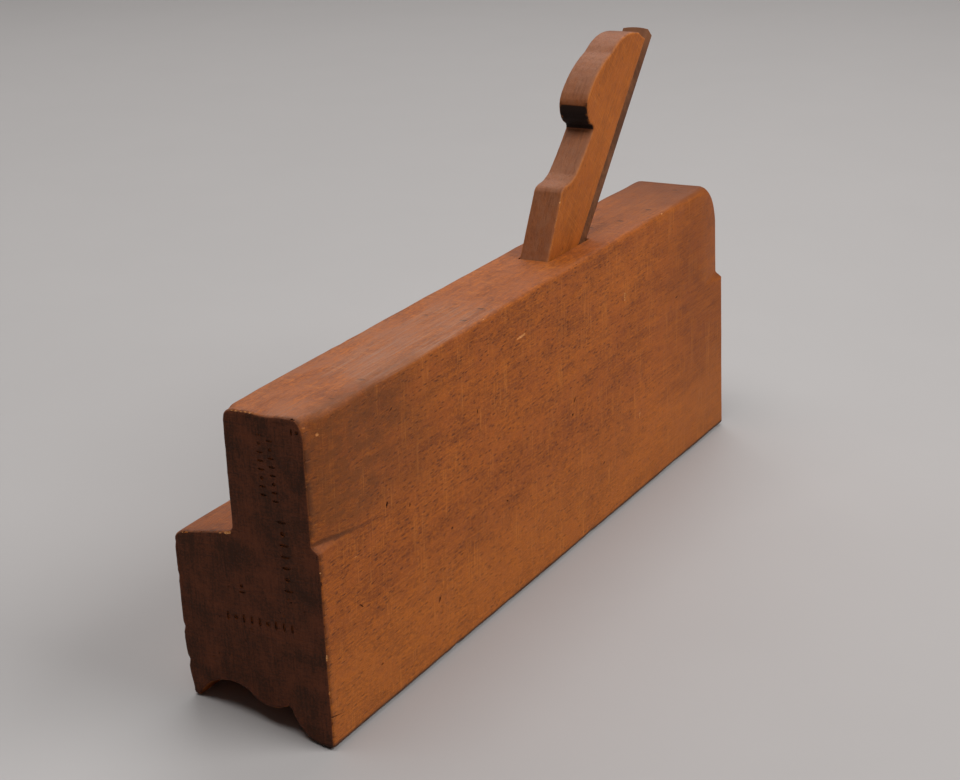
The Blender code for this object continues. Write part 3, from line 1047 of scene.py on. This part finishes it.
def iron_finish(name, colours):
    """Forged steel under a brown patina, ground bright towards its edge."""
    made = Finish(name)
    _, _, z = made.axes(made.place)
    pits = made.cloud(made.stretched((1.1, 1.1, 1.1)), 4, 0.7)
    rust = made.cloud(made.stretched((7, 10, 10)), 4, 0.6)
    ground = made.step(z + 6 * rust, 16, 10)
    scoured = made.step(z + 30 * (rust - 0.5), 62, 30) * made.step(pits, 0.35, 0.6)
    top = made.step(z + 5 * rust, 132, 138)
    metal = made.mixed(made.step(rust * 0.6 + pits * 0.4, 0.4, 0.7), colours.patina, colours.rust)
    metal = made.mixed(top * 0.7, metal, colours.rust)
    metal = made.mixed(scoured * 0.6, metal, colours.steel)
    metal = made.mixed(ground * 0.8, metal, colours.steel)
    return made.finish(
        base_color=metal,
        roughness=0.52 + 0.2 * pits - 0.2 * ground,
        metallic=made.maths("MAXIMUM", 0.9 * ground, 0.6 * scoured),
        specular_ior_level=0.2,
        normal=made.bump(pits, 0.4, 0.12),
    )


def floor_finish(colours):
    made = Finish("pale_floor")
    dust = made.cloud(made.stretched((50, 50, 50)), 3, 0.6)
    tint = made.mixed(dust, colours.floor, tuple(0.96 * part for part in colours.floor))
    return made.finish(base_color=tint, roughness=0.55)


def give(piece, body, node):
    """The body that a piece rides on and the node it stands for."""
    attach(piece, body)
    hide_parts(node)


# Operators


class PLANE_OT_stock(Operator):
    """Build the worn beech stock"""

    bl_idname = "moulding_plane.stock"
    bl_label = "Stock"

    def execute(self, context):
        settings = context.scene.moulding_plane
        colours = settings.colours
        finishes = (
            beech_finish("aged_beech", colours, stock=True),
            nick_finish("fresh_beech", colours.bare_wood, colours.beech_light),
            nick_finish("grimy_beech", colours.grime_and_shade, colours.beech_dark),
        )
        stock = build_stock(settings.stock, Bed(settings.bed), finishes)
        give(stock, "stock_body", "stock")
        return {"FINISHED"}


class PLANE_OT_wedge(Operator):
    """Build the beech wedge"""

    bl_idname = "moulding_plane.wedge"
    bl_label = "Wedge"

    def execute(self, context):
        settings = context.scene.moulding_plane
        finishes = (
            beech_finish("wedge_beech", settings.colours, grain_turn=settings.bed.angle),
            nick_finish("fresh_wedge_beech", settings.colours.bare_wood, settings.colours.beech_light),
        )
        wedge = build_wedge(Bed(settings.bed), finishes)
        give(wedge, "wedge_body", "wedge")
        return {"FINISHED"}


class PLANE_OT_iron(Operator):
    """Build the steel iron"""

    bl_idname = "moulding_plane.iron"
    bl_label = "Iron"

    def execute(self, context):
        iron = build_iron()
        iron.data.materials.append(iron_finish("iron_steel", context.scene.moulding_plane.colours))
        give(iron, "iron_body", "iron")
        return {"FINISHED"}


FLOOR_SIZE = 9
FLOOR_MIDDLE = (-0.0008, 0.003)
FLOOR_SLOPE = 0.161
FLOOR_REACH = 0.12
CAMERA_PLACE = (0.2718, -0.47495, 0.2463)
CAMERA_RIGHT = (0.87251, 0.48663, -0.04372)
CAMERA_UP = (-0.12921, 0.31611, 0.93988)
CAMERA_LENS = 75.94


def build_floor(colours):
    """A wide floor that dips across the stock, so that it touches both the nose and the fence."""
    bpy.ops.mesh.primitive_grid_add(x_subdivisions=400, y_subdivisions=4, size=FLOOR_SIZE)
    floor = bpy.context.object
    floor.name = "floor"
    middle_x, middle_z = FLOOR_MIDDLE
    for vertex in floor.data.vertices:
        vertex.co.x = vertex.co.x * abs(vertex.co.x / (FLOOR_SIZE / 2)) ** 1.5
        across = (vertex.co.x - middle_x) / FLOOR_REACH
        vertex.co.z = middle_z - FLOOR_SLOPE * FLOOR_REACH * tanh(across)
    floor.data.materials.append(floor_finish(colours))
    only(floor)
    bpy.ops.object.shade_smooth()


def add_light(name, place, aim, size, power):
    data = bpy.data.lights.new(name, "AREA")
    data.shape = "RECTANGLE"
    data.size, data.size_y = size
    data.energy = power
    light = bpy.data.objects.new(name, data)
    bpy.context.scene.collection.objects.link(light)
    light.location = place
    light.visible_camera = False
    light.rotation_euler = (Vector(aim) - Vector(place)).to_track_quat("-Z", "Y").to_euler()


def build_camera():
    data = bpy.data.cameras.new("camera")
    data.lens = CAMERA_LENS
    data.sensor_width = 36.0
    data.clip_start = 0.01
    camera = bpy.data.objects.new("camera", data)
    bpy.context.scene.collection.objects.link(camera)
    right, up = Vector(CAMERA_RIGHT), Vector(CAMERA_UP)
    turned = Matrix((right, up, right.cross(up))).transposed()
    camera.matrix_world = Matrix.Translation(CAMERA_PLACE) @ turned.to_4x4()
    bpy.context.scene.camera = camera


class PLANE_OT_stage(Operator):
    """Set the floor, lights and camera"""

    bl_idname = "moulding_plane.stage"
    bl_label = "Stage"

    def execute(self, context):
        build_floor(context.scene.moulding_plane.colours)
        target = (0, 0, 0.05)
        add_light("side_softbox", (0.90, 0.30, 0.85), target, (0.8, 0.7), 9.7)
        add_light("top_softbox", (-0.35, 0.80, 0.90), target, (1.0, 0.7), 4.5)
        add_light("high_front", (-0.10, -0.35, 1.25), target, (0.7, 0.5), 5.5)
        add_light("left_fill", (-1.2, 0.45, 0.8), target, (1.2, 0.8), 2.5)
        world = bpy.data.worlds.new("studio")
        world.use_nodes = True
        background = world.node_tree.nodes["Background"]
        background.inputs["Color"].default_value = (1.0, 0.98, 0.96, 1)
        background.inputs["Strength"].default_value = 0.06
        context.scene.world = world
        context.scene.view_settings.view_transform = "Standard"
        build_camera()
        return {"FINISHED"}


class PLANE_PT_pieces(Panel):
    """Lists the plane's pieces and their settings"""

    bl_idname = "PLANE_PT_pieces"
    bl_label = "Moulding Plane"
    bl_space_type = "VIEW_3D"
    bl_region_type = "UI"
    bl_category = "Moulding Plane"

    def draw(self, context):
        layout = self.layout
        for operator in PIECES:
            layout.operator(operator.bl_idname)
        settings = context.scene.moulding_plane
        for group in (settings.stock, settings.bed, settings.colours):
            box = layout.box()
            for name in group.bl_rna.properties.keys():
                if name not in ("rna_type", "name"):
                    box.prop(group, name)


PIECES = (PLANE_OT_stock, PLANE_OT_wedge, PLANE_OT_iron, PLANE_OT_stage)
CLASSES = (StockSettings, BedSettings, ColourSettings, PlaneSettings, *PIECES, PLANE_PT_pieces)


def register():
    for item in CLASSES:
        bpy.utils.register_class(item)
    bpy.types.Scene.moulding_plane = PointerProperty(type=PlaneSettings)


def unregister():
    del bpy.types.Scene.moulding_plane
    for item in reversed(CLASSES):
        bpy.utils.unregister_class(item)


def main():
    register()
    bpy.ops.moulding_plane.stock()
    bpy.ops.moulding_plane.wedge()
    bpy.ops.moulding_plane.iron()
    bpy.ops.moulding_plane.stage()


if __name__ == "__main__":
    main()
